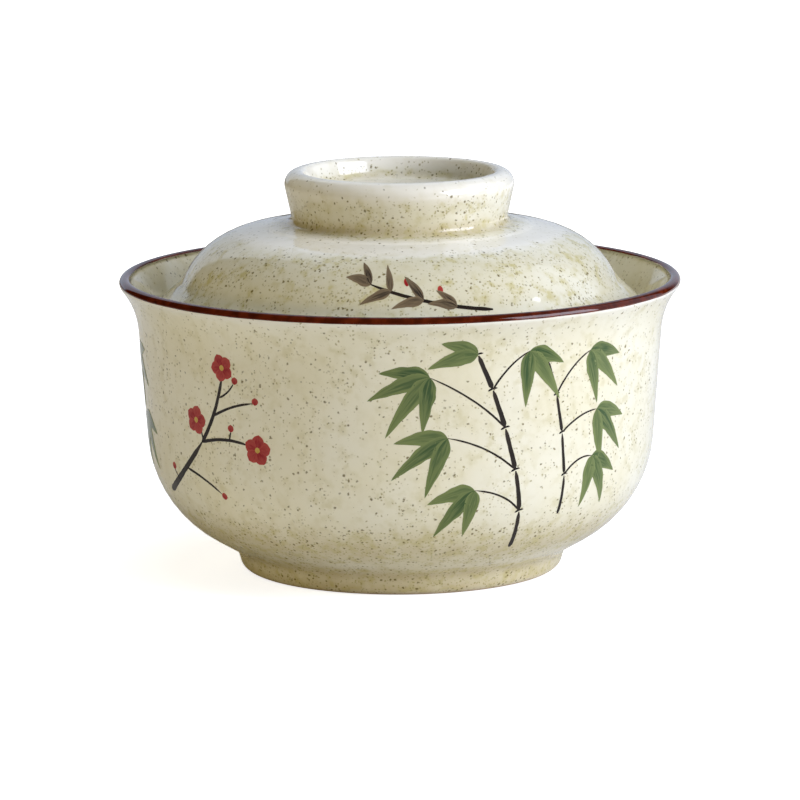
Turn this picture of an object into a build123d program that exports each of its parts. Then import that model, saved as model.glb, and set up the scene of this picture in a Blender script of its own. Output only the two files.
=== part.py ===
"""Lidded donburi bowl in speckled stoneware.

A footed bowl with a flared mouth, the iron-brown glaze over its lip, and a domed lid whose brim drops
into the mouth and rests on the flare. Every piece is turned about the Z axis. Sizes are in millimetres
and angles in degrees, +Z is up, and the origin lies under the middle of the foot.
"""

import os
from math import cos, degrees, radians, sin, tan

from build123d import *

# Bowl, outside
mouth_diameter = 158.0
rim_height = 83.3
lip_thickness = 3.4
flare_angle = 38.8  # lean of the lip from upright
flare_reach = 4.8  # how far the lip stands out past the line of the wall
wall_lean = 4.3  # lean of the wall from upright
belly_height = 19.4  # where the wall's line meets the slope of the underside
belly_radius = 34.0

# Bowl, foot ring
foot_diameter = 92.4
foot_height = 5.7
foot_width = 6.0
foot_recess = 5.0
foot_draft = 12.0  # lean of the ring's inner side from upright
foot_fillet = 2.4
foot_outer_edge = 2.4
foot_inner_edge = 1.2
recess_fillet = 2.0

# Bowl, inside
wall_thickness = 4.2
floor_thickness = 6.0
inner_belly_radius = 30.0

# Iron-brown glaze over the lip
lip_glaze_thickness = 0.4
lip_glaze_spread = 62.0  # how far it runs down each side of the lip's round
lip_glaze_gap = 0.02  # between the coat and its bed in the lip

# Seat of the lid in the mouth
seat_slope = 17.0  # lean of the flare, from upright, where the brim rests on it
seat_clearance = 0.3

# Lid, its heights measured up from the middle of the brim's edge
brim_thickness = 3.6
brim_slope = 42.0  # fall of the brim from level
brim_width = 10.4
brim_fillet = 6.0
dome_setback = 25.2  # how far the dome's shoulder lies in from the bowl's mouth
dome_rise = 21.6
dome_radius = 25.0
lid_wall = 4.4
crown_flat = 30.0
crown_radius = 60.0

# Lid, ring grip on top
grip_diameter = 66.4
grip_flare = 3.1  # how far the ring's top stands out past its neck
grip_rise = 25.6
grip_height = 14.3
grip_wall = 6.1
grip_recess = 5.8
grip_draft = 22.0  # lean of the ring's inner side from upright
grip_fillet = 2.0
grip_outer_edge = 3.8
grip_inner_edge = 1.6
grip_recess_fillet = 3.0


def heading(angle):
    """Unit vector in the profile plane, at an angle above the outward radius."""
    return Vector(cos(radians(angle)), sin(radians(angle)))


def inner_line(start, end, wall):
    """Line along start to end, moved by the wall's thickness to its left, which is the hollow side."""
    along = (end - start).normalized()
    return Axis(start + along.rotate(Axis.Z, 90) * wall, along)


# Lip: a full round whose tip points along the flare
lip_radius = lip_thickness / 2
lip_centre = Vector(mouth_diameter / 2 - lip_radius, rim_height - lip_radius)
flare_heading = heading(90 - flare_angle)
lip_outside = lip_centre + heading(-flare_angle) * lip_radius
lip_inside = lip_centre + heading(180 - flare_angle) * lip_radius
lip_bed_radius = lip_radius - lip_glaze_thickness
glaze_start = 90 - flare_angle - lip_glaze_spread
glaze_end = 90 - flare_angle + lip_glaze_spread
bare_lip = 90 - lip_glaze_spread
coat_radius = lip_bed_radius + lip_glaze_gap
coat_start = glaze_start + degrees(lip_glaze_gap / lip_radius)
coat_end = glaze_end - degrees(lip_glaze_gap / lip_radius)


def lip_point(radius, angle):
    """Point on a round about the middle of the lip."""
    return lip_centre + heading(angle) * radius


def lip_round(radius, start, end):
    """True round about the middle of the lip, as one rational curve, which keeps so thin a ring even."""
    half = radians(end - start) / 2
    corner = lip_point(radius / cos(half), (start + end) / 2)
    return Bezier(lip_point(radius, start), corner, lip_point(radius, end), weights=[1, cos(half), 1])


# Outer wall: a straight lean that an arc carries out to the lip
wall_heading = heading(90 - wall_lean)
shoulder_radius = mouth_diameter / 2 - flare_reach
flare_run = (lip_outside.X - shoulder_radius) / sin(radians(flare_angle))
shoulder = lip_outside - flare_heading * flare_run
wall_top = shoulder - wall_heading * flare_run
belly_corner = shoulder - wall_heading * ((shoulder.Y - belly_height) / cos(radians(wall_lean)))

# Inner wall: parallel to the outer one, with its own arc out to the lip
floor_centre = Vector(0, foot_recess + floor_thickness)
inner_wall = inner_line(belly_corner, shoulder, wall_thickness)
floor_corner = inner_wall.intersect(Axis(floor_centre, heading(0)))
inner_shoulder = inner_wall.intersect(Axis(lip_inside, flare_heading))
inner_flare_run = (lip_inside - inner_shoulder).length
inner_wall_top = inner_shoulder - wall_heading * inner_flare_run
inner_flare_radius = inner_flare_run / tan(radians(flare_angle - wall_lean) / 2)
inner_flare_centre = inner_wall_top + heading(-wall_lean) * inner_flare_radius

# Foot ring
foot_outer = Vector(foot_diameter / 2, 0)
foot_inner = Vector(foot_diameter / 2 - foot_width, 0)
foot_top = Vector(foot_diameter / 2, foot_height)
recess_corner = Vector(foot_inner.X - foot_recess * tan(radians(foot_draft)), foot_recess)
recess_centre = Vector(0, foot_recess)

with BuildPart() as bowl:
    with BuildSketch(Plane.XZ):
        with BuildLine():
            FilletPolyline(
                recess_centre, recess_corner, foot_inner, foot_outer, foot_top, belly_corner, wall_top,
                radius=[recess_fillet, foot_inner_edge, foot_outer_edge, foot_fillet, belly_radius],
            )
            TangentArc(wall_top, lip_outside, tangent=wall_heading)
            CenterArc(lip_centre, lip_radius, -flare_angle, bare_lip)
            Line(lip_point(lip_radius, glaze_start), lip_point(lip_bed_radius, glaze_start))
            CenterArc(lip_centre, lip_bed_radius, glaze_start, 2 * lip_glaze_spread)
            Line(lip_point(lip_bed_radius, glaze_end), lip_point(lip_radius, glaze_end))
            CenterArc(lip_centre, lip_radius, glaze_end, bare_lip)
            TangentArc(inner_wall_top, lip_inside, tangent=wall_heading)
            FilletPolyline(inner_wall_top, floor_corner, floor_centre, radius=[inner_belly_radius])
            Line(floor_centre, recess_centre)
        make_face()
    revolve(axis=Axis.Z)

with BuildPart() as lip_glaze:
    with BuildSketch(Plane.XZ):
        with BuildLine():
            lip_round(lip_radius, coat_start, coat_end)
            Line(lip_point(lip_radius, coat_end), lip_point(coat_radius, coat_end))
            lip_round(coat_radius, coat_start, coat_end)
            Line(lip_point(coat_radius, coat_start), lip_point(lip_radius, coat_start))
        make_face()
    revolve(axis=Axis.Z)

# Brim: its rounded edge comes to rest where the flare has the seat's slope
brim_radius = brim_thickness / 2
seat_distance = inner_flare_radius + seat_clearance + brim_radius
brim_centre = inner_flare_centre + heading(180 - seat_slope) * seat_distance
brim_upper = brim_centre + heading(90 - brim_slope) * brim_radius
brim_edge = brim_centre + heading(-brim_slope) * brim_radius
brim_lower = brim_centre - heading(90 - brim_slope) * brim_radius
brim_corner = brim_upper + heading(180 - brim_slope) * brim_width

# Dome and ring grip, outside
dome_corner = Vector(mouth_diameter / 2 - dome_setback, brim_centre.Y + dome_rise)
grip_base = Vector(grip_diameter / 2 - grip_flare, brim_centre.Y + grip_rise)
grip_outer = Vector(grip_diameter / 2, grip_base.Y + grip_height)
grip_inner = grip_outer - Vector(grip_wall, 0)
grip_floor_height = grip_outer.Y - grip_recess
grip_floor_corner = Vector(grip_inner.X - grip_recess * tan(radians(grip_draft)), grip_floor_height)
grip_floor_centre = Vector(0, grip_floor_height)

# Dome, inside: parallel to the outside, and level in the middle of the crown
side_inside = inner_line(brim_corner, dome_corner, lid_wall)
crown_inside = inner_line(dome_corner, grip_base, lid_wall)
inner_brim_corner = side_inside.intersect(Axis(brim_lower, heading(180 - brim_slope)))
inner_dome_corner = side_inside.intersect(crown_inside)
crown_corner = crown_inside.intersect(Axis((crown_flat / 2, 0, 0), heading(90)))
crown_centre = Vector(0, crown_corner.Y)

with BuildPart() as lid:
    with BuildSketch(Plane.XZ):
        with BuildLine():
            FilletPolyline(
                brim_upper, brim_corner, dome_corner, grip_base, grip_outer, grip_inner,
                grip_floor_corner, grip_floor_centre,
                radius=[
                    brim_fillet, dome_radius, grip_fillet,
                    grip_outer_edge, grip_inner_edge, grip_recess_fillet,
                ],
            )
            Line(grip_floor_centre, crown_centre)
            FilletPolyline(
                crown_centre, crown_corner, inner_dome_corner, inner_brim_corner, brim_lower,
                radius=[crown_radius, dome_radius - lid_wall, brim_fillet + lid_wall],
            )
            ThreePointArc(brim_lower, brim_edge, brim_upper)
        make_face()
    revolve(axis=Axis.Z)

os.makedirs("parts", exist_ok=True)
bowl.part.label = "bowl"
export_step(bowl.part, "parts/bowl.step")
lip_glaze.part.label = "lip_glaze"
export_step(lip_glaze.part, "parts/lip_glaze.step")
lid.part.label = "lid"
export_step(lid.part, "parts/lid.step")
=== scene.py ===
"""Looks of a lidded donburi bowl: cream glaze with iron specks, a brown lip, brush painting. In metres."""

from math import cos, hypot, pi, radians, sin, tan

import bmesh
import bpy
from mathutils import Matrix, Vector, noise
from mathutils.bvhtree import BVHTree


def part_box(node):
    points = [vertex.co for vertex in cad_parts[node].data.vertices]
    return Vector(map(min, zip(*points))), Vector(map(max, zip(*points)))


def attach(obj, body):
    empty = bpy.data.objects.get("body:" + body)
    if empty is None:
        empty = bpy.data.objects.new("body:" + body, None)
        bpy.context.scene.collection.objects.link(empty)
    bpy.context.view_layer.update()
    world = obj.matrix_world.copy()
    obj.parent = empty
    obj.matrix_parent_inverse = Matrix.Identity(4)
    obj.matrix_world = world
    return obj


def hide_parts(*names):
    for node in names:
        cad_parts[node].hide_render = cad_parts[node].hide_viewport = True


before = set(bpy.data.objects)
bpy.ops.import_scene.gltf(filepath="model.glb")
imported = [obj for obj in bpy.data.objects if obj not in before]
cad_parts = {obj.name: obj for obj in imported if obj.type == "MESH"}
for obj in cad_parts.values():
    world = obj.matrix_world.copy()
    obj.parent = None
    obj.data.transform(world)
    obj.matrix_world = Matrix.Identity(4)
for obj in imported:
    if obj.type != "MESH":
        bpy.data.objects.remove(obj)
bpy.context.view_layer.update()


# Bowl: stoneware turned on the wheel, with a foot ring, a leaning wall and a mouth that flares to carry the
# lid. It is dipped whole in a glossy cream glaze and fired standing on its foot, which is wiped bare. Iron
# in the clay comes through the glaze as brown specks, and the glaze runs thick and yellow into the creases.
# The lower belly is also painted yellower and darker, as painted shade towards the bottom.
mm = 0.001
bowl_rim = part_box("lip_glaze")[1]
lip_radius = 1.7 * mm
lip_lean = radians(38.8)
lip_bed = 0.08 * mm
lip_tip = Vector((sin(lip_lean), 0, cos(lip_lean)))
lip_side = Vector((cos(lip_lean), 0, -sin(lip_lean)))
lip_centre = Vector((bowl_rim.x - lip_radius, 0, bowl_rim.z - lip_radius))
bare_lip_radius = lip_radius - lip_bed
weld = 0.001 * mm


def corner(radius, height, rounding=0.0):
    """A corner of a turned outline, given in millimetres, with the radius that rounds it."""
    return Vector((radius, 0, height)) * mm, rounding * mm


def draw_outline(bm, corners, longest=2.5 * mm, arc_step=radians(6)):
    """Draws half a section as a wire: runs are extruded, and each rounding is spun about its own centre."""
    pen = bm.verts.new(corners[0][0])
    for (before, _), (here, rounding), (after, _) in zip(corners, corners[1:], corners[2:]):
        come = (here - before).normalized()
        go = (after - here).normalized()
        turn = come.angle(go)
        axis = come.cross(go).normalized()
        arc_start = here - come * rounding * tan(turn / 2)
        run = bmesh.ops.extrude_vert_indiv(bm, verts=[pen])["verts"][0]
        run.co = arc_start
        arc = bmesh.ops.spin(
            bm, geom=[run], cent=arc_start + axis.cross(come) * rounding, axis=axis,
            angle=turn, steps=max(2, round(turn / arc_step)), use_duplicate=False,
        )
        pen = arc["geom_last"][0]
    last = bmesh.ops.extrude_vert_indiv(bm, verts=[pen])["verts"][0]
    last.co = corners[-1][0]
    bmesh.ops.remove_doubles(bm, verts=bm.verts, dist=weld)
    for edge in bm.edges[:]:
        cuts = int(edge.calc_length() / longest)
        if cuts:
            bmesh.ops.subdivide_edges(bm, edges=[edge], cuts=cuts)


def turn_round(bm, steps=240):
    """Spins the outline a whole turn about Z, closes its poles and faces it outwards."""
    bmesh.ops.spin(
        bm, geom=bm.verts[:] + bm.edges[:], cent=(0, 0, 0), axis=(0, 0, 1),
        angle=2 * pi, steps=steps, use_merge=True, use_duplicate=False,
    )
    bmesh.ops.remove_doubles(bm, verts=bm.verts, dist=weld)
    bmesh.ops.recalc_face_normals(bm, faces=bm.faces)


def finish_piece(bm, name, material):
    """Makes the mesh an object at the origin, smooth, with its material."""
    mesh = bpy.data.meshes.new(name)
    bm.to_mesh(mesh)
    bm.free()
    mesh.shade_smooth()
    mesh.materials.append(material)
    piece = bpy.data.objects.new(name, mesh)
    bpy.context.scene.collection.objects.link(piece)
    return piece


def mark_places(piece, name, places):
    """Stores on each vertex how near it lies to some circles, each a (radius, height, reach) in mm."""
    layer = piece.data.attributes.new(name, "FLOAT", "POINT")
    for vert, item in zip(piece.data.vertices, layer.data):
        radius = hypot(vert.co.x, vert.co.y) / mm
        height = vert.co.z / mm
        item.value = max(max(0, 1 - hypot(radius - r, height - h) / reach) for r, h, reach in places)


def add_node(tree, kind, inputs, **settings):
    """Adds a shader node. Inputs are sockets to link or values to set, by name or by number."""
    node = tree.nodes.new("ShaderNode" + kind)
    for name, value in settings.items():
        setattr(node, name, value)
    for name, value in inputs.items():
        if isinstance(value, bpy.types.NodeSocket):
            tree.links.new(value, node.inputs[name])
        else:
            node.inputs[name].default_value = value
    return node


def calculate(tree, operation, first, second=0.0):
    """A Math node's result."""
    return add_node(tree, "Math", {0: first, 1: second}, operation=operation).outputs[0]


def fade(tree, value, start, end, low=0.0, high=1.0):
    """Goes smoothly from low to high while the value goes from start to end."""
    inputs = {"Value": value, "From Min": start, "From Max": end, "To Min": low, "To Max": high}
    return add_node(tree, "MapRange", inputs, interpolation_type="SMOOTHSTEP").outputs["Result"]


def tint(tree, share, under, over):
    """Lays one colour over another by a share from 0 to 1."""
    return add_node(tree, "Mix", {0: share, 6: under, 7: over}, data_type="RGBA").outputs[2]


def cloud(tree, place, size, detail=2.0):
    """Soft noise from 0 to 1 whose blotches are about the given size across."""
    noise_node = add_node(tree, "TexNoise", {"Vector": place, "Scale": 1 / size, "Detail": detail})
    return noise_node.outputs["Fac"]


def specks(tree, place, spacing, size, share, softness):
    """Round specks, one to a cell: a share of the cells have one, each with its own radius up to size."""
    cells = add_node(tree, "TexVoronoi", {"Vector": place, "Scale": 1 / spacing})
    chance = add_node(tree, "SeparateColor", {"Color": cells.outputs["Color"]}).outputs["Red"]
    missing = calculate(tree, "SUBTRACT", 1.0, share)
    radius = fade(tree, chance, missing, 1.0, 0.0, size / spacing)
    core = calculate(tree, "MULTIPLY", radius, 1 - softness)
    return fade(tree, cells.outputs["Distance"], radius, core)


def glaze_surface(tree):
    """Gloss and ripple of the glaze: roughness and normal sockets, shared by bare and painted glaze."""
    place = add_node(tree, "TexCoord", {}).outputs["Object"]
    smear = cloud(tree, place, 9 * mm)
    roughness = fade(tree, smear, 0.3, 0.75, 0.045, 0.085)
    waves = cloud(tree, place, 16 * mm, 1.0)
    ripple = add_node(tree, "Bump", {"Strength": 0.35, "Distance": 0.25 * mm, "Height": waves})
    pits = cloud(tree, place, 1.6 * mm)
    peel = add_node(tree, "Bump", {"Strength": 0.25, "Distance": 0.02 * mm, "Height": pits})
    tree.links.new(ripple.outputs["Normal"], peel.inputs["Normal"])
    return roughness, peel.outputs["Normal"]


pool_and_shade_yellow = (0.585, 0.50, 0.295, 1)
thin_and_lit_white = (0.84, 0.80, 0.68, 1)
haze_olive = (0.50, 0.43, 0.15, 1)
speck_olive = (0.30, 0.24, 0.06, 1)
speck_brown = (0.135, 0.10, 0.018, 1)
bare_clay = (0.55, 0.42, 0.28, 1)


def cream_glaze(name, pale, deep, speckle):
    """Cream glaze: yellow and specked where it pools and in painted shade, white where it runs thin and in
    painted light, wiped off bare clay.
    """
    material = bpy.data.materials.new(name)
    material.use_nodes = True
    tree = material.node_tree
    shader = tree.nodes["Principled BSDF"]
    place = add_node(tree, "TexCoord", {}).outputs["Object"]
    pooled_and_shaded = add_node(tree, "Attribute", {}, attribute_name="pooled_and_shaded").outputs["Fac"]
    thin_and_lit = add_node(tree, "Attribute", {}, attribute_name="thin_and_lit").outputs["Fac"]
    bare = add_node(tree, "Attribute", {}, attribute_name="bare").outputs["Fac"]

    mottle = fade(tree, cloud(tree, place, 22 * mm, 3.0), 0.3, 0.7)
    colour = tint(tree, mottle, pale, deep)
    uneven = fade(tree, cloud(tree, place, 7 * mm), 0.1, 0.9, 0.5, 1.0)
    pooling_and_shade = fade(tree, calculate(tree, "MULTIPLY", pooled_and_shaded, uneven), 0.0, 1.0)
    colour = tint(tree, pooling_and_shade, colour, pool_and_shade_yellow)
    colour = tint(tree, fade(tree, thin_and_lit, 0.0, 0.6), colour, thin_and_lit_white)

    ragged = add_node(tree, "TexNoise", {"Vector": place, "Scale": 1 / (1.1 * mm), "Detail": 2.0})
    jolt = add_node(tree, "VectorMath", {0: ragged.outputs["Color"], 3: 1.0 * mm}, operation="SCALE")
    jolted = add_node(tree, "VectorMath", {0: place, 1: jolt.outputs[0]}, operation="ADD").outputs[0]
    crowd = fade(tree, cloud(tree, place, 7 * mm), 0.36, 0.62, 0.28 * speckle, 1.1 * speckle)
    crowd = calculate(tree, "MAXIMUM", crowd, fade(tree, pooled_and_shaded, 0.0, 0.6, 0.0, 1.1))
    crowd = calculate(tree, "MULTIPLY", crowd, fade(tree, thin_and_lit, 0.0, 0.7, 1.0, 0.25))

    smudge = fade(tree, cloud(tree, place, 3 * mm, 5.0), 0.42, 0.72, 0.0, 0.5)
    colour = tint(tree, calculate(tree, "MULTIPLY", crowd, smudge), colour, haze_olive)
    fine = specks(tree, jolted, 0.8 * mm, 0.47 * mm, calculate(tree, "MULTIPLY", crowd, 0.9), 0.85)
    colour = tint(tree, calculate(tree, "MULTIPLY", fine, 0.7), colour, speck_olive)
    dark = specks(tree, jolted, 1.25 * mm, 0.55 * mm, calculate(tree, "MULTIPLY", crowd, 0.65), 0.75)
    colour = tint(tree, calculate(tree, "MULTIPLY", dark, 0.9), colour, speck_brown)
    dry = fade(tree, bare, 0.0, 0.5)
    tree.links.new(tint(tree, dry, colour, bare_clay), shader.inputs["Base Color"])

    roughness, normal = glaze_surface(tree)
    rough = add_node(tree, "Mix", {0: dry, 2: roughness, 3: 0.75}, data_type="FLOAT").outputs[0]
    tree.links.new(rough, shader.inputs["Roughness"])
    tree.links.new(normal, shader.inputs["Normal"])
    return material


bowl_outline = [
    corner(0, 5.0),
    corner(39.14, 5.0, 2.0),  # recess under the foot
    corner(40.2, 0.0, 1.2),
    corner(44.9, 0.0, 3.2),  # foot ring
    corner(46.5, 5.8, 5.0),
    corner(70.02, 19.4, 34.0),  # belly
    corner(74.2, 75.03, 22.74),  # flare of the mouth
    (lip_centre + (lip_tip + lip_side) * bare_lip_radius, bare_lip_radius),
    (lip_centre + (lip_tip - lip_side) * bare_lip_radius, bare_lip_radius),
    corner(70.0, 75.24, 30.69),  # inside of the flare
    corner(65.17, 11.0, 30.0),  # floor
    corner(0, 11.0),
]
bowl_mesh = bmesh.new()
draw_outline(bowl_mesh, bowl_outline)
turn_round(bowl_mesh)
bowl_skin = BVHTree.FromBMesh(bowl_mesh)
bowl_glaze = cream_glaze(
    "speckled_cream_bowl", pale=(0.81, 0.77, 0.605, 1), deep=(0.78, 0.725, 0.52, 1), speckle=0.65,
)
bowl = finish_piece(bowl_mesh, "bowl_body", bowl_glaze)
# The circle at 63 mm, 14 mm covers the corner of the floor inside, where glaze pools, and the lower belly
# outside, where the yellow is painted shade.
mark_places(bowl, "pooled_and_shaded", [(47.5, 5.9, 9.0), (46.0, 2.0, 6.0), (63.0, 14.0, 15.0), (39.0, 5.0, 7.0)])
mark_places(bowl, "thin_and_lit", [(79.0, 82.5, 3.0)])
mark_places(bowl, "bare", [(42.6, 0.0, 2.6)])
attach(bowl, "bowl")
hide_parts("bowl")


# Brown lip: an iron-brown glaze brushed over the rounded lip of the bowl while it turns on a banding wheel.
# It lies over the cream glaze as a thin glossy coat, and its edges waver a little where the brush ran on.
outer_spread = radians(64)
inner_spread = radians(102)
coat_waver = 0.06
waver_pace = 9
coat_depth = 0.4 * mm
edge_share = 0.2
edge_sink = 0.25 * mm
thick_brown = (0.054, 0.007, 0.0016, 1)
mottled_brown = (0.110, 0.015, 0.0034, 1)
breaking_red = (0.24, 0.06, 0.025, 1)


def brown_glaze(name):
    """Iron-brown glaze: dark where it lies thick, red where it breaks thin towards its edges."""
    material = bpy.data.materials.new(name)
    material.use_nodes = True
    tree = material.node_tree
    shader = tree.nodes["Principled BSDF"]
    place = add_node(tree, "TexCoord", {}).outputs["Object"]
    edge = add_node(tree, "Attribute", {}, attribute_name="edge").outputs["Fac"]
    uneven = fade(tree, cloud(tree, place, 5 * mm), 0.2, 0.8, 0.55, 1.0)
    breaks = fade(tree, calculate(tree, "MULTIPLY", edge, uneven), 0.5, 1.0)
    mottle = fade(tree, cloud(tree, place, 3 * mm, 4.0), 0.35, 0.7)
    colour = tint(tree, mottle, thick_brown, mottled_brown)
    colour = tint(tree, breaks, colour, breaking_red)
    tree.links.new(colour, shader.inputs["Base Color"])
    shader.inputs["Specular IOR Level"].default_value = 0.3
    roughness, normal = glaze_surface(tree)
    tree.links.new(roughness, shader.inputs["Roughness"])
    tree.links.new(normal, shader.inputs["Normal"])
    return material


coat_mesh = bmesh.new()
coat_start = coat_mesh.verts.new(lip_centre + lip_side * lip_radius)
outer_arc = bmesh.ops.spin(
    coat_mesh, geom=[coat_start], cent=lip_centre, axis=(0, -1, 0), angle=pi, steps=24, use_duplicate=False,
)
inner_edge = bmesh.ops.extrude_vert_indiv(coat_mesh, verts=outer_arc["geom_last"])["verts"][0]
inner_edge.co = lip_centre - lip_side * (lip_radius - coat_depth)
inner_arc = bmesh.ops.spin(
    coat_mesh, geom=[inner_edge], cent=lip_centre, axis=(0, 1, 0), angle=pi, steps=24, use_duplicate=False,
)
coat_mesh.edges.new((inner_arc["geom_last"][0], coat_start))
turn_round(coat_mesh)
edge_layer = coat_mesh.verts.layers.float.new("edge")
for vert in coat_mesh.verts:
    outward = Vector((vert.co.x, vert.co.y, 0)).normalized()
    middle = outward * lip_centre.x + Vector((0, 0, lip_centre.z))
    spoke = vert.co - middle
    tip = outward * lip_tip.x + Vector((0, 0, lip_tip.z))
    side = outward * lip_side.x + Vector((0, 0, lip_side.z))
    share = spoke.angle(tip) / (pi / 2)
    side_shift = Vector((0, 0, 3 * spoke.dot(side) / lip_radius))
    waver = 1 + coat_waver * noise.noise(outward * waver_pace + side_shift)
    angle = share * waver * (outer_spread if spoke.dot(side) > 0 else -inner_spread)
    sink = edge_sink * max(0, (share - 1 + edge_share) / edge_share)
    vert.co = middle + (tip * cos(angle) + side * sin(angle)) * (spoke.length - sink)
    vert[edge_layer] = share
lip_coat = finish_piece(coat_mesh, "lip_coat", brown_glaze("iron_brown"))
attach(lip_coat, "bowl")
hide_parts("lip_glaze")


# Lid: a domed stoneware cover, turned with a brim that drops into the mouth of the bowl and a hollow ring
# on top to lift it by. It is glazed like the bowl, thin and white over the ring's edge, thick at its root.
# Its crown and the floor of the grip's recess are painted whiter, as painted light from above, and its cream
# is painted a shade darker than the bowl's, as painted shade on the dome.
lid_base, lid_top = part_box("lid")
brim_radius = 1.8 * mm
brim_fall = radians(42)
brim_out = Vector((cos(brim_fall), 0, -sin(brim_fall)))
brim_up = Vector((sin(brim_fall), 0, cos(brim_fall)))
brim_centre = Vector((lid_top.x - brim_radius, 0, lid_base.z + brim_radius))
lid_outline = [
    corner(0, 107.12),
    corner(24.76, 107.12, 3.0),  # recess of the grip
    corner(27.1, 112.92, 1.6),
    corner(33.2, 112.92, 3.8),  # lip of the grip
    corner(30.1, 98.62, 2.0),
    corner(36.6, 97.52, 1.5),  # trimming step
    corner(38.0, 97.12, 1.5),
    corner(53.8, 94.62, 25.0),  # dome
    corner(62.01, 81.32, 6.0),
    (brim_centre + (brim_out + brim_up) * brim_radius, brim_radius),
    (brim_centre + (brim_out - brim_up) * brim_radius, brim_radius),
    corner(57.1, 80.9, 10.4),
    corner(51.1, 90.61, 20.6),  # hollow underside
    corner(15.0, 96.71, 60.0),
    corner(0, 96.71),
]
lid_mesh = bmesh.new()
draw_outline(lid_mesh, lid_outline)
turn_round(lid_mesh)
lid_skin = BVHTree.FromBMesh(lid_mesh)
# The lid's cream is the bowl's glaze set a shade darker: painted shade for the dome, which takes less light.
lid_shaded_glaze = cream_glaze(
    "speckled_cream_lid_shaded", pale=(0.735, 0.70, 0.55, 1), deep=(0.70, 0.65, 0.465, 1), speckle=1.3,
)
lid = finish_piece(lid_mesh, "lid_body", lid_shaded_glaze)
mark_places(lid, "pooled_and_shaded", [(31.0, 99.0, 4.5), (25.0, 107.3, 3.5), (38.0, 97.2, 1.8)])
# The ring's lip is glaze run thin; the circles on the crown and in the grip's recess are painted light,
# whiter where light falls from above.
mark_places(lid, "thin_and_lit", [(30.0, 112.6, 7.5), (41.0, 96.4, 9.0), (14.0, 107.1, 14.0)])
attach(lid, "lid")
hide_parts("lid")


# Bamboo: painted on the wall in a few loaded brush strokes, iron black for the stems and copper green for
# the leaves, and fired into the glaze, so that it has the same gloss. Each stroke lies on the wall as a skin.
paint_lift = 0.03 * mm
paint_depth = 0.2 * mm
layer_lift = 0.002 * mm
wall_reach = 73.0
clear_of_wall = 0.2
stroke_step = 0.7
stroke_weld = 0.0005 * mm
stroke_crease = radians(50)
hand_shake = 0.16


def on_skin(skin, across, height, lift):
    """Point on the outside of a turned piece, so far round from the front and so high in mm, and lifted."""
    turn = across / wall_reach
    outward = Vector((sin(turn), -cos(turn), 0))
    spot, normal, _, _ = skin.ray_cast(outward * clear_of_wall + Vector((0, 0, height * mm)), -outward)
    return spot + normal * lift


def start_painting():
    """An empty mesh with what each stroke stores: its own coordinates and its tone."""
    bm = bmesh.new()
    bm.loops.layers.uv.new("stroke")
    bm.verts.layers.float.new("tone")
    return bm


def brush(bm, skin, points, width, press, layer):
    """Lays one stroke from the first point by the second to the third, as wide as the brush is pressed."""
    start, pull, end = [Vector(point) for point in points]
    tone = bm.verts.layers.float["tone"]
    tone_here = 0.5 + 0.5 * sin(layer * 2.4)
    length = (pull - start).length + (end - pull).length
    grid = bmesh.ops.create_grid(
        bm, x_segments=max(6, round(length / stroke_step)), y_segments=6, size=1, calc_uvs=True,
    )
    for vert in grid["verts"]:
        along = (vert.co.x + 1) / 2
        aside = vert.co.y
        middle = start * (1 - along) ** 2 + pull * 2 * along * (1 - along) + end * along ** 2
        heading = ((pull - start) * (1 - along) + (end - pull) * along).normalized()
        shake = 1 + hand_shake * noise.noise((along * length / 2.5, aside * 3, layer * 1.7))
        spot = middle + Vector((-heading.y, heading.x)) * aside * press(along) * shake * width / 2
        vert.co = on_skin(skin, spot.x, spot.y, paint_lift + layer * layer_lift)
        vert[tone] = tone_here
    bmesh.ops.remove_doubles(bm, verts=grid["verts"], dist=stroke_weld)


def finish_painting(bm, name, material, body):
    """Gives the strokes their thickness, down into the glaze, and fixes them to a body."""
    bmesh.ops.solidify(bm, geom=bm.faces[:], thickness=paint_depth)
    piece = finish_piece(bm, name, material)
    piece.data.set_sharp_from_angle(angle=stroke_crease)
    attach(piece, body)


def paint(name, washed, loaded):
    """Ceramic colour: loaded along the middle of a stroke, washed out to its edges and end, and streaked."""
    material = bpy.data.materials.new(name)
    material.use_nodes = True
    tree = material.node_tree
    shader = tree.nodes["Principled BSDF"]
    stroke = add_node(tree, "TexCoord", {}).outputs["UV"]
    tone = add_node(tree, "Attribute", {}, attribute_name="tone").outputs["Fac"]
    split = add_node(tree, "SeparateXYZ", {0: stroke})
    aside = calculate(tree, "ABSOLUTE", calculate(tree, "SUBTRACT", split.outputs["Y"], 0.5))
    hairs = add_node(tree, "VectorMath", {0: stroke, 1: (2.5, 8, 1)}, operation="MULTIPLY").outputs[0]
    own_streaks = calculate(tree, "MULTIPLY", tone, 40.0)
    streak = add_node(
        tree, "TexNoise", {"Vector": hairs, "W": own_streaks, "Scale": 1.0, "Detail": 2.0},
        noise_dimensions="4D",
    ).outputs["Fac"]
    load = fade(tree, aside, 0.5, 0.2, 0.35, 1.0)
    load = calculate(tree, "MULTIPLY", load, fade(tree, streak, 0.25, 0.7, 0.35, 1.0))
    load = calculate(tree, "MULTIPLY", load, fade(tree, split.outputs["X"], 0.35, 1.0, 1.0, 0.45))
    load = calculate(tree, "MULTIPLY", load, fade(tree, tone, 0.0, 1.0, 0.7, 1.15))
    tree.links.new(tint(tree, load, washed, loaded), shader.inputs["Base Color"])
    shader.inputs["Specular IOR Level"].default_value = 0.2
    roughness, normal = glaze_surface(tree)
    tree.links.new(roughness, shader.inputs["Roughness"])
    tree.links.new(normal, shader.inputs["Normal"])
    return material


def leaf_press(along):
    """A leaf: the brush is pressed soon after the stalk and lifted slowly to a point."""
    return (1 - along) ** 0.8 * (1 - (1 - along) ** 6) / 0.66


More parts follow.
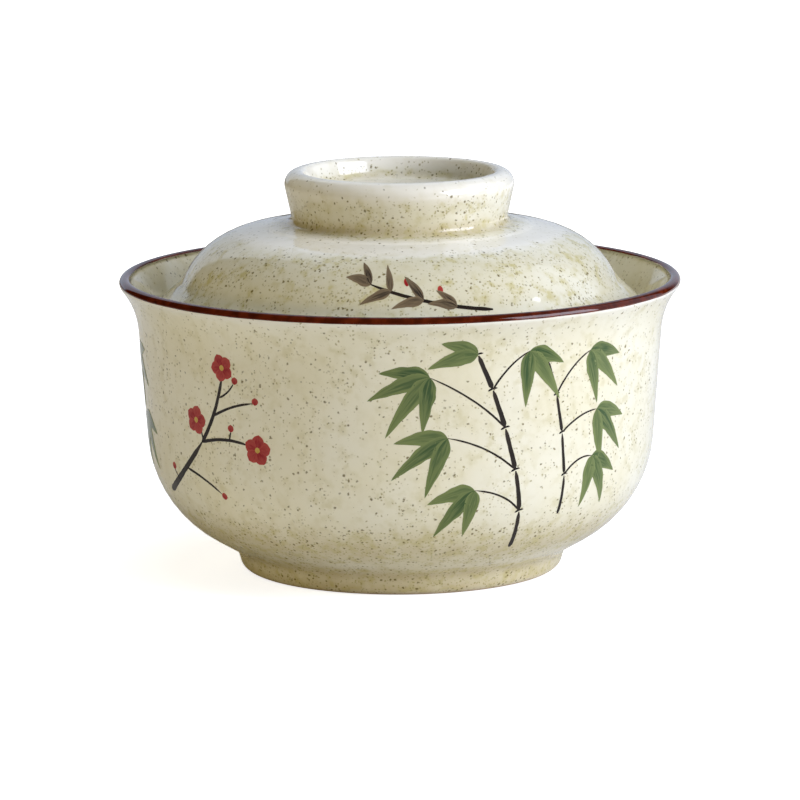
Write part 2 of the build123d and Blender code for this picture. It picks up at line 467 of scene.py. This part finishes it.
def stem_press(along):
    """A stem: set down firmly, drawn thinner and lifted off short."""
    return min(1, 0.4 + 9 * along, 0.3 + 5 * (1 - along)) * (1 - 0.25 * along)


def paint_leaves(bm, skin, fans, breadth, layer):
    """Hangs fans of leaves: each has its stalk's place, then each leaf's heading in degrees and length."""
    for (across, height), leaves in fans:
        for angle, length in leaves:
            heading = Vector((cos(radians(angle)), sin(radians(angle))))
            stalk = Vector((across, height))
            bend = stalk + heading * length * 0.5 + Vector((0, 0.07 * length))
            tip = stalk + heading * length - Vector((0, 0.05 * length))
            brush(bm, skin, (stalk, bend, tip), breadth, leaf_press, layer)
            layer += 1


ink = paint("iron_ink", washed=(0.045, 0.033, 0.024, 1), loaded=(0.007, 0.006, 0.006, 1))
leaf_green = paint("copper_green", washed=(0.21, 0.25, 0.085, 1), loaded=(0.045, 0.085, 0.028, 1))
twig_width = 0.6
leaf_breadth = 4.6
culms = [
    (1.5, [(37, 15), (35.5, 27), (33, 39), (29.5, 51), (25.5, 62), (21, 72)]),
    (1.1, [(50, 24), (49.5, 36), (48, 48), (45.5, 59), (42, 69)]),
    (1.2, [(-119, 14), (-118, 27), (-116, 40), (-113, 52), (-109, 63)]),
]
twigs = [
    ((29.5, 51), (21, 60), (8, 66)),
    ((33, 39), (24, 47), (13, 49)),
    ((35.5, 27), (30, 33), (21, 34)),
    ((48, 48), (54, 53), (61, 53)),
    ((49.5, 36), (54, 41), (60, 40)),
    ((45.5, 59), (50, 67), (57, 70)),
    ((25.5, 62), (30, 69), (36, 72)),
    ((-116, 40), (-110, 46), (-103, 46)),
]
leaf_fans = [
    ((8, 66), [(172, 14), (-162, 18), (-128, 20), (-98, 15)]),
    ((13, 49), [(-178, 15), (-146, 19), (-112, 17)]),
    ((21, 34), [(-168, 14), (-132, 17), (-100, 13)]),
    ((61, 53), [(-12, 13), (-45, 17), (-80, 16)]),
    ((60, 40), [(-25, 12), (-60, 16), (-98, 14)]),
    ((57, 70), [(-8, 13), (-40, 17), (-75, 15)]),
    ((36, 72), [(-18, 12), (-52, 17), (-92, 15)]),
    ((21, 72), [(158, 11), (-168, 14)]),
    ((-103, 46), [(-15, 13), (-52, 17), (-88, 14)]),
    ((-109, 63), [(12, 12), (-30, 15), (-70, 15)]),
]
stem_mesh = start_painting()
for width, nodes in culms:
    for low, high in zip(nodes, nodes[1:]):
        low = Vector(low)
        high = Vector(high)
        rise = (high - low).normalized()
        stretch = (low + rise * 0.5, (low + high) / 2, high - rise * 0.3)
        brush(stem_mesh, bowl_skin, stretch, width, stem_press, 0)
        tick = Vector((0.9, 0.25)) * width
        knot = (high - tick, high + Vector((0, 0.5)), high + tick)
        brush(stem_mesh, bowl_skin, knot, twig_width, stem_press, 1)
for points in twigs:
    brush(stem_mesh, bowl_skin, points, twig_width, stem_press, 2)
finish_painting(stem_mesh, "bamboo_stems", ink, "bowl")
leaf_mesh = start_painting()
paint_leaves(leaf_mesh, bowl_skin, leaf_fans, leaf_breadth, 3)
finish_painting(leaf_mesh, "bamboo_leaves", leaf_green, "bowl")


# Plum branch: an ink branch on the left of the wall, with a few red blossoms and buds. It is painted like the
# bamboo, with iron black for the wood, iron red for each petal in one dab, and a yellow dab in the middle.
def round_press(along):
    """A dab: round at both ends."""
    return sin(pi * along) ** 0.6


def paint_blossom(bm, skin, across, height, size, tilt, layer):
    """Five round petals about a middle."""
    middle = Vector((across, height))
    for number in range(5):
        angle = radians(tilt + 72 * number)
        heading = Vector((cos(angle), sin(angle)))
        points = (middle + heading * 0.1 * size, middle + heading * 0.55 * size, middle + heading * size)
        brush(bm, skin, points, 0.92 * size, round_press, layer + number)


def paint_dab(bm, skin, across, height, size, layer):
    """One round dab."""
    half = Vector((0, size / 2))
    middle = Vector((across, height))
    brush(bm, skin, (middle - half, middle, middle + half), size, round_press, layer)


red = paint("blossom_red", washed=(0.46, 0.075, 0.055, 1), loaded=(0.27, 0.010, 0.014, 1))
yellow = paint("stamen_yellow", washed=(0.62, 0.45, 0.12, 1), loaded=(0.50, 0.31, 0.05, 1))
branches = [
    (1.9, ((-86, 27), (-74, 32), (-63, 44))),
    (1.3, ((-63, 44), (-56, 52), (-53, 64))),
    (1.0, ((-63, 44), (-53, 47), (-45, 45))),
    (0.8, ((-57.5, 52), (-50, 56), (-43, 57))),
    (0.8, ((-71, 35.5), (-63, 34), (-57, 30))),
    (0.6, ((-62.5, 45), (-63, 48), (-65, 50))),
    (0.6, ((-54.5, 57.5), (-51, 59), (-49, 62))),
    (0.6, ((-51.7, 45.8), (-51.5, 47), (-51, 48.4))),
    (0.6, ((-76.5, 31), (-78.5, 32.5), (-79, 34.5))),
]
blossoms = [(-42, 44, 4.4, 10), (-53, 66, 4.0, 40), (-65, 50, 4.2, 75)]
stamen_size = 1.7
bud_size = 2.2
buds = [(-42, 57.6), (-51, 49.2), (-56, 29.4), (-79, 35), (-48.6, 62.8)]
branch_mesh = start_painting()
for width, points in branches:
    brush(branch_mesh, bowl_skin, points, width, stem_press, 0)
finish_painting(branch_mesh, "plum_branch", ink, "bowl")
blossom_mesh = start_painting()
stamen_mesh = start_painting()
for across, height, size, tilt in blossoms:
    paint_blossom(blossom_mesh, bowl_skin, across, height, size, tilt, 2)
    paint_dab(stamen_mesh, bowl_skin, across, height, stamen_size, 9)
for across, height in buds:
    paint_dab(blossom_mesh, bowl_skin, across, height, bud_size, 4)
finish_painting(blossom_mesh, "plum_blossoms", red, "bowl")
finish_painting(stamen_mesh, "plum_stamens", yellow, "bowl")


# Lid sprig: a small sprig on the front of the dome, painted like the bamboo and fired into the lid's glaze:
# an ink stem, leaves in thinned ink and two red buds.
wash = paint("ink_wash", washed=(0.26, 0.19, 0.11, 1), loaded=(0.035, 0.027, 0.021, 1))
sprig_stem = ((31, 82), (10, 83.6), (-11, 89.2))
sprig_width = 1.0
sprig_leaf_breadth = 2.6
sprig_fans = [
    ((-10, 89), [(168, 10), (130, 7)]),
    ((-3, 87.2), [(-165, 11), (105, 7)]),
    ((8, 85), [(135, 9), (-172, 11)]),
    ((19, 83.2), [(145, 8), (172, 10)]),
]
sprig_buds = [(2.5, 89.6, 2.2), (14, 87.6, 2.0)]
sprig_mesh = start_painting()
brush(sprig_mesh, lid_skin, sprig_stem, sprig_width, stem_press, 0)
finish_painting(sprig_mesh, "lid_sprig", ink, "lid")
sprig_leaf_mesh = start_painting()
paint_leaves(sprig_leaf_mesh, lid_skin, sprig_fans, sprig_leaf_breadth, 2)
finish_painting(sprig_leaf_mesh, "lid_leaves", wash, "lid")
bud_mesh = start_painting()
for layer, (across, height, size) in enumerate(sprig_buds, 1):
    paint_dab(bud_mesh, lid_skin, across, height, size, layer)
finish_painting(bud_mesh, "lid_buds", red, "lid")


# Studio: a white table before a white sweep. A large cold softbox stands on the right, a cool one hangs
# overhead, and weak warm ones fill in from behind, from the left and from low in front. The glaze mirrors
# the softbox on the right, the sweep behind the bowl and a white card on its right.
floor_reach = 3.0
near_glow = 0.80
paper_white = (0.86, 0.86, 0.85, 1)
pure_white = (1, 1, 1, 1)
sweep_blue = (0.72, 0.82, 1.0, 1)
bowl_middle = Vector((0, 0, 0.05))


def softbox(name, place, width, height, power, colour, mirrored=False):
    """A rectangular lamp that faces the bowl. Only a mirrored one shows as a highlight in the glaze."""
    lamp = bpy.data.lights.new(name, "AREA")
    lamp.shape = "RECTANGLE"
    lamp.size = width
    lamp.size_y = height
    lamp.energy = power
    lamp.color = colour
    box = bpy.data.objects.new(name, lamp)
    box.location = place
    box.rotation_euler = (bowl_middle - Vector(place)).to_track_quat("-Z", "Y").to_euler()
    box.visible_camera = False
    box.visible_glossy = mirrored
    bpy.context.scene.collection.objects.link(box)


floor_material = bpy.data.materials.new("white_table")
floor_material.use_nodes = True
floor_tree = floor_material.node_tree
floor_tree.nodes.remove(floor_tree.nodes["Principled BSDF"])
paper = add_node(floor_tree, "BsdfDiffuse", {"Color": paper_white})
floor_place = add_node(floor_tree, "TexCoord", {}).outputs["Object"]
lit_side = fade(floor_tree, add_node(floor_tree, "SeparateXYZ", {0: floor_place}).outputs["X"], 0.12, 0.6)
distance = add_node(floor_tree, "VectorMath", {0: floor_place}, operation="LENGTH").outputs["Value"]
floor_glow = fade(floor_tree, distance, 0.15, 0.6, near_glow, 1.0)
path = add_node(floor_tree, "LightPath", {})
floor_mirrored = calculate(
    floor_tree, "MAXIMUM", path.outputs["Is Glossy Ray"], path.outputs["Is Transmission Ray"],
)
reflected = calculate(floor_tree, "MULTIPLY", floor_mirrored, lit_side)
seen = calculate(floor_tree, "MAXIMUM", path.outputs["Is Camera Ray"], reflected)
glow_strength = calculate(floor_tree, "MULTIPLY", seen, floor_glow)
glow = add_node(floor_tree, "Emission", {"Color": pure_white, "Strength": glow_strength})
sheet = add_node(floor_tree, "AddShader", {0: paper.outputs[0], 1: glow.outputs[0]})
floor_tree.links.new(sheet.outputs[0], floor_tree.nodes["Material Output"].inputs["Surface"])
floor_mesh = bmesh.new()
bmesh.ops.create_grid(floor_mesh, x_segments=1, y_segments=1, size=floor_reach)
floor = finish_piece(floor_mesh, "table", floor_material)

cold = (0.80, 0.845, 1.0)
cool = (0.86, 0.91, 1.0)
warm = (1.0, 0.86, 0.55)
softbox("key_right", (1.13, -0.47, 0.59), 0.9, 0.8, 21.9, cold, mirrored=True)
softbox("top", (0.10, 0.00, 1.20), 0.8, 0.8, 6.2, cool)
softbox("back_left", (-0.50, 0.80, 0.60), 0.5, 0.5, 1.9, warm)
softbox("left", (-1.20, -0.10, 0.15), 0.6, 0.3, 2.5, warm)
softbox("front_low", (-0.10, -1.20, 0.10), 0.8, 0.2, 2.55, warm)

world = bpy.data.worlds.new("white_sweep")
bpy.context.scene.world = world
world.use_nodes = True
world_tree = world.node_tree
sweep_low_light = 0.7
sweep_high_light = 1.1
card_light = 0.8
sharp_edge = 0.03
soft_top = 0.1
direction = add_node(world_tree, "TexCoord", {}).outputs["Generated"]
split = add_node(world_tree, "SeparateXYZ", {0: direction})
bearing = calculate(world_tree, "ARCTAN2", split.outputs["X"], split.outputs["Y"])


def panel(left, right, top, softness):
    """A bright panel of the studio between two bearings from straight back, up to a rise of the direction."""
    past_left = fade(world_tree, bearing, radians(left) - sharp_edge, radians(left) + sharp_edge)
    short_of_right = fade(world_tree, bearing, radians(right) + softness, radians(right) - softness)
    under_top = fade(world_tree, split.outputs["Z"], top + soft_top, top - soft_top)
    between = calculate(world_tree, "MULTIPLY", past_left, short_of_right)
    return calculate(world_tree, "MULTIPLY", between, under_top)


sweep_light = fade(world_tree, split.outputs["Z"], 0.3, 0.6, sweep_low_light, sweep_high_light)
sweep = calculate(world_tree, "MULTIPLY", panel(-29, 25, 0.85, 0.2), sweep_light)
card = calculate(world_tree, "MULTIPLY", panel(45, 105, 0.8, 0.2), card_light)
rays = add_node(world_tree, "LightPath", {})
world_mirrored = calculate(
    world_tree, "MAXIMUM", rays.outputs["Is Glossy Ray"], rays.outputs["Is Transmission Ray"],
)
studio = calculate(world_tree, "MULTIPLY", world_mirrored, calculate(world_tree, "ADD", sweep, card))
backdrop = add_node(
    world_tree, "Mix", {0: rays.outputs["Is Camera Ray"], 2: studio, 3: 1.0}, data_type="FLOAT",
).outputs[0]
world_tree.links.new(backdrop, world_tree.nodes["Background"].inputs["Strength"])
backdrop_colour = tint(world_tree, rays.outputs["Is Camera Ray"], sweep_blue, pure_white)
world_tree.links.new(backdrop_colour, world_tree.nodes["Background"].inputs["Color"])


# Camera: a long lens 1.7 m in front of the bowl, looking down on it by ten degrees and turned by a third of a
# degree, as it was held for the photograph.
view_distance = 1.7
view_rise = radians(9.954)
view_aim = Vector((-0.00013, 0, 0.0472))
view_roll = radians(-0.32)
lens = bpy.data.cameras.new("camera")
lens.sensor_width = 36
lens.lens = 270.7
camera = bpy.data.objects.new("camera", lens)
camera.location = view_aim + Vector((0, -cos(view_rise), sin(view_rise))) * view_distance
camera.rotation_euler = (view_aim - camera.location).to_track_quat("-Z", "Y").to_euler()
camera.rotation_euler.rotate_axis("Z", view_roll)
bpy.context.scene.collection.objects.link(camera)
bpy.context.scene.camera = camera
bpy.context.scene.view_settings.view_transform = "Standard"
